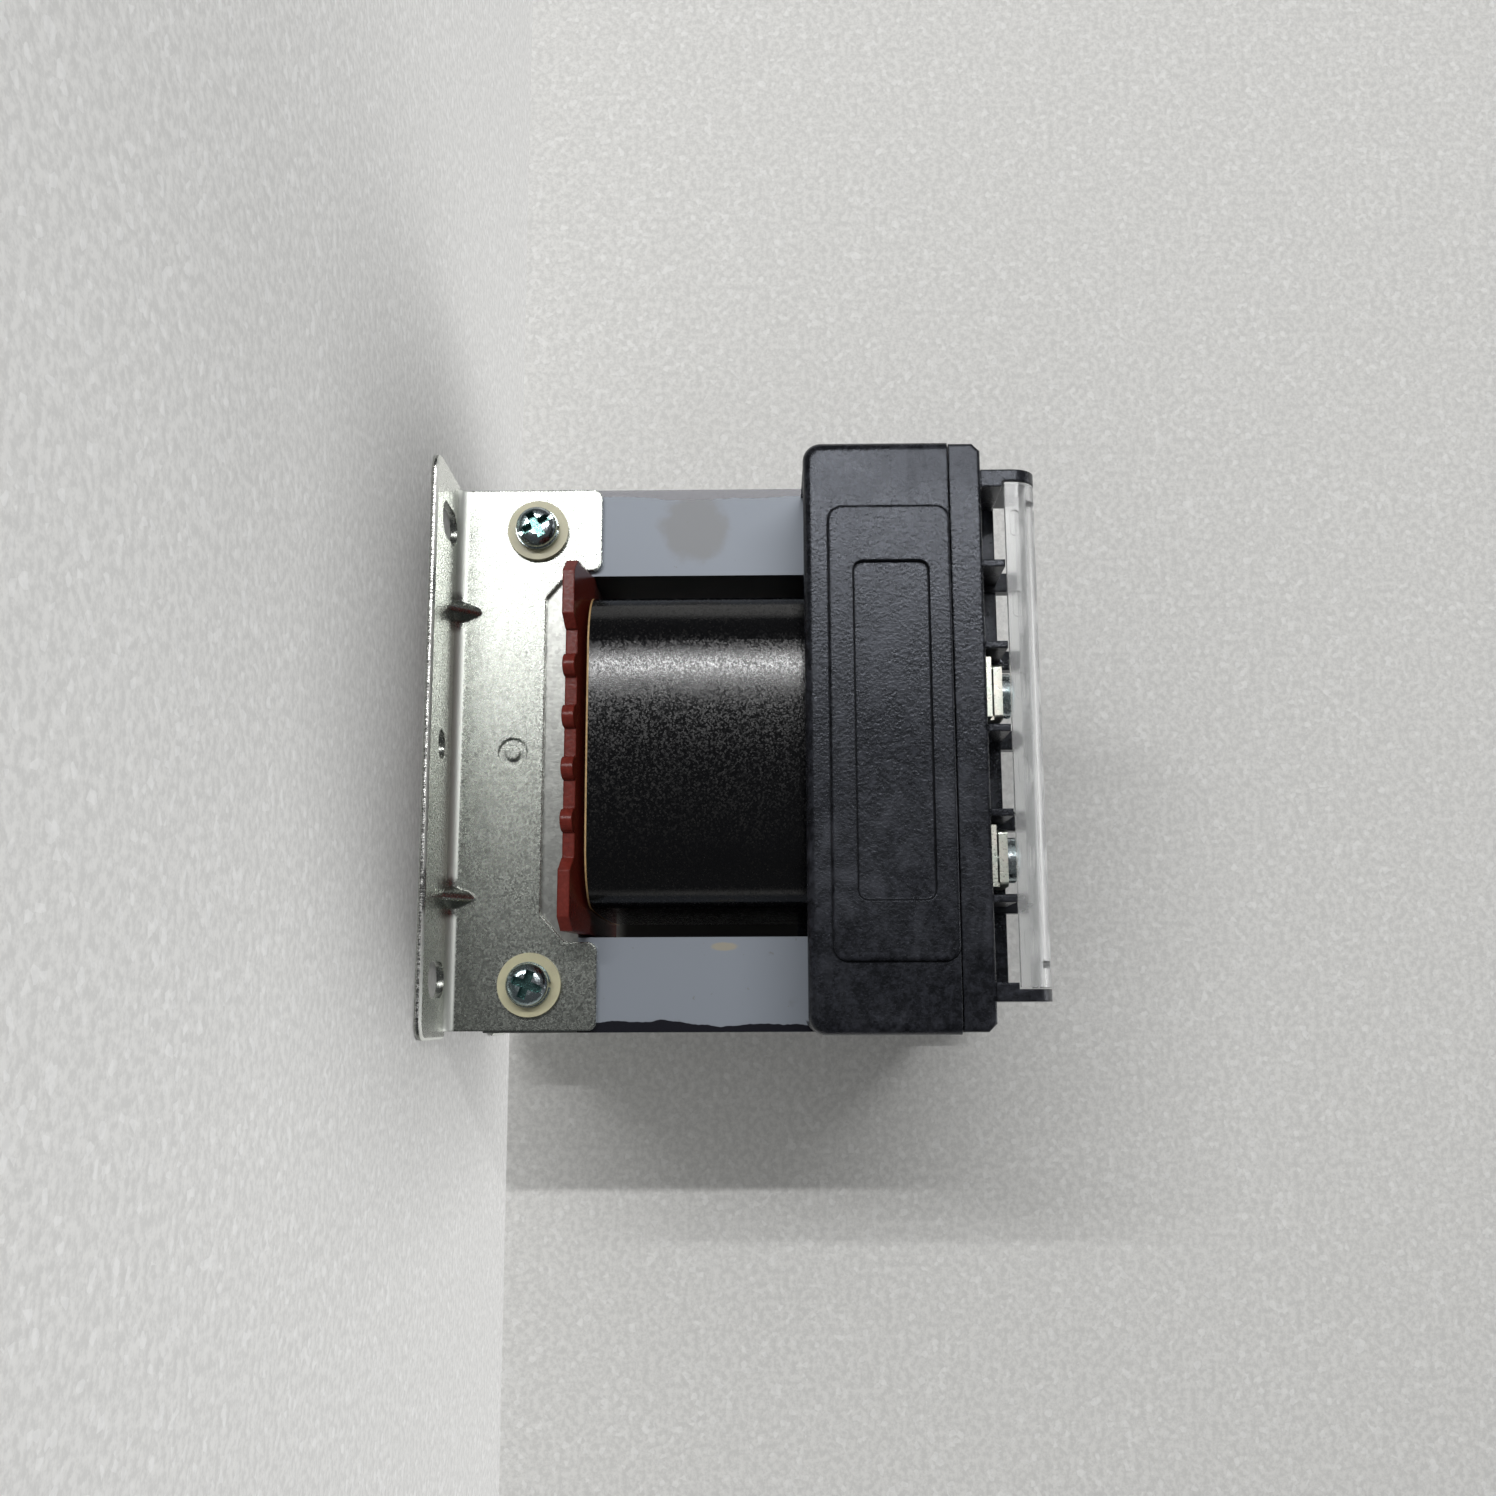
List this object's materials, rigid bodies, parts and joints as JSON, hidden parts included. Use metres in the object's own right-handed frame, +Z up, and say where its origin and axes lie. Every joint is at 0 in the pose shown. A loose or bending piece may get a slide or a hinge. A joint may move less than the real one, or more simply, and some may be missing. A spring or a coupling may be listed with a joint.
{
  "type": "single phase transformer",
  "caption": "Open-frame control transformer: laminated core with a wound red bobbin, pressed foot brackets, and a black terminal head with screw terminals under clear covers.",
  "frame": {"origin": "centre of the mounting plane, under the feet, midway between the brackets", "axes": "+X across the core, +Y through the lamination stack towards the rear, +Z up from the feet to the terminal covers"},
  "size_m": [0.098, 0.0914, 0.1008],
  "materials": {
    "lamination_coated": "satin, varnished edges",
    "lamination_bare": "bare rolled steel",
    "zinc_sheet": "zinc plated, spangled",
    "screw_zinc": "zinc plated, bright",
    "nylon": "translucent, satin",
    "bobbin_red": "moulded, satin",
    "copper_wire": "enamelled",
    "insulation_film": "paper film",
    "black_film": "varnished film",
    "head_black": "moulded, satin",
    "terminal_plate": "tin plated",
    "clear_cover": "clear moulded plastic"
  },
  "bodies": {
    "root": {"e_laminations": "lamination_coated", "i_laminations": "lamination_bare", "front_bracket": "zinc_sheet", "rear_bracket": "zinc_sheet", "core_screws": "screw_zinc", "core_nuts": "screw_zinc", "spring_washers": "screw_zinc", "nylon_washers": "nylon", "bobbin": "bobbin_red", "primary_winding": "copper_wire", "winding_insulation": "insulation_film", "secondary_winding": "copper_wire", "coil_wrap": "black_film", "front_shroud": "head_black", "rear_shroud": "head_black", "terminal_block": "head_black", "terminal_contacts": "terminal_plate", "clamp_plates": "terminal_plate", "terminal_screws": "screw_zinc", "front_cover": "clear_cover", "rear_cover": "clear_cover"}
  },
  "joints": []
}
